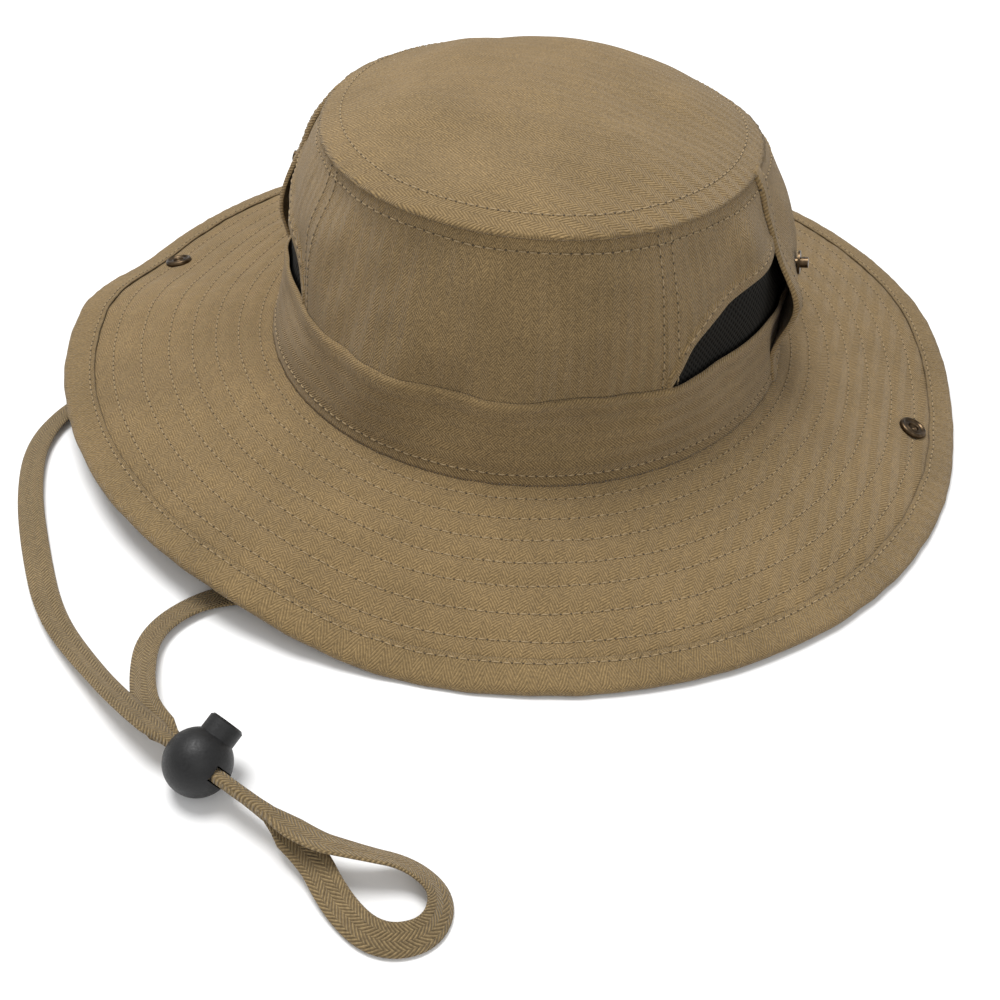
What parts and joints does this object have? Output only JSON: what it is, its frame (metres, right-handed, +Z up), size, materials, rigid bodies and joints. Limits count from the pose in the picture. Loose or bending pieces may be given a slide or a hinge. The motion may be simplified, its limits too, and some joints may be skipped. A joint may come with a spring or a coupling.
{
  "type": "boonie hat",
  "caption": "Wide-brimmed cloth hat with a stitched crown, mesh side vents, brim sides that fold up onto snaps, and a flat chin cord with a push-button cord lock.",
  "frame": {"origin": "on the ground under the middle of the brim", "axes": "+Z up through the crown, -Y the way the wearer faces, +X towards the wearer's left"},
  "size_m": [0.3025, 0.4096, 0.1104],
  "materials": {
    "twill_cloth": "khaki herringbone cotton twill",
    "binding_cloth": "khaki bias tape",
    "interlining": "undyed stiff interlining",
    "sweatband_cloth": "plain khaki cotton",
    "vent_mesh": "black knitted mesh",
    "snap_metal": "dark antique bronze",
    "cord_tape": "khaki herringbone tape",
    "lock_plastic": "black moulded plastic",
    "spring_steel": "spring wire"
  },
  "bodies": {
    "hat": {"brim_back_binding": "binding_cloth", "brim_front_binding": "binding_cloth", "brim_interlining": "interlining", "brim_top": "twill_cloth", "brim_under": "twill_cloth", "chin_cord": "cord_tape", "crown_back_panel": "twill_cloth", "crown_front_panel": "twill_cloth", "crown_left_side_panel": "twill_cloth", "crown_right_side_panel": "twill_cloth", "crown_seam_tape": "sweatband_cloth", "crown_tip": "twill_cloth", "hat_band": "twill_cloth", "left_cord_tack": "cord_tape", "left_snap_backing": "snap_metal", "left_snap_stud": "snap_metal", "left_vent_mesh": "vent_mesh", "right_cord_tack": "cord_tape", "right_snap_backing": "snap_metal", "right_snap_stud": "snap_metal", "right_vent_mesh": "vent_mesh", "sweatband": "sweatband_cloth"},
    "left_brim_wing": {"left_snap_cap": "snap_metal", "left_snap_socket": "snap_metal", "left_wing_binding": "binding_cloth", "left_wing_interlining": "interlining", "left_wing_top": "twill_cloth", "left_wing_under": "twill_cloth"},
    "right_brim_wing": {"right_snap_cap": "snap_metal", "right_snap_socket": "snap_metal", "right_wing_binding": "binding_cloth", "right_wing_interlining": "interlining", "right_wing_top": "twill_cloth", "right_wing_under": "twill_cloth"},
    "cord_lock": {"lock_body": "lock_plastic", "lock_spring": "spring_steel"},
    "lock_button_body": {"lock_button": "lock_plastic"}
  },
  "joints": [
    {"name": "left_brim_fold", "type": "hinge", "parent": "hat", "child": "left_brim_wing", "pos_m": [0.0962, 0, 0.0183], "axis": [0, -1, 0], "range_deg": [0, 117.5], "stiffness_Nm_per_rad": 0.004},
    {"name": "right_brim_fold", "type": "hinge", "parent": "hat", "child": "right_brim_wing", "pos_m": [-0.0962, 0, 0.0183], "axis": [0, 1, 0], "range_deg": [0, 115], "stiffness_Nm_per_rad": 0.004},
    {"name": "cord_lock_slide", "type": "slide", "parent": "hat", "child": "cord_lock", "axis": [0.9336, -0.3584, 0], "range_m": [0, 0.014]},
    {"name": "lock_button_press", "type": "slide", "parent": "cord_lock", "child": "lock_button_body", "axis": [-0.3134, -0.8165, -0.4848], "range_m": [0, 0.0022], "stiffness_N_per_m": 1500, "springref_m": -0.001, "deforming": ["lock_spring"]}
  ]
}
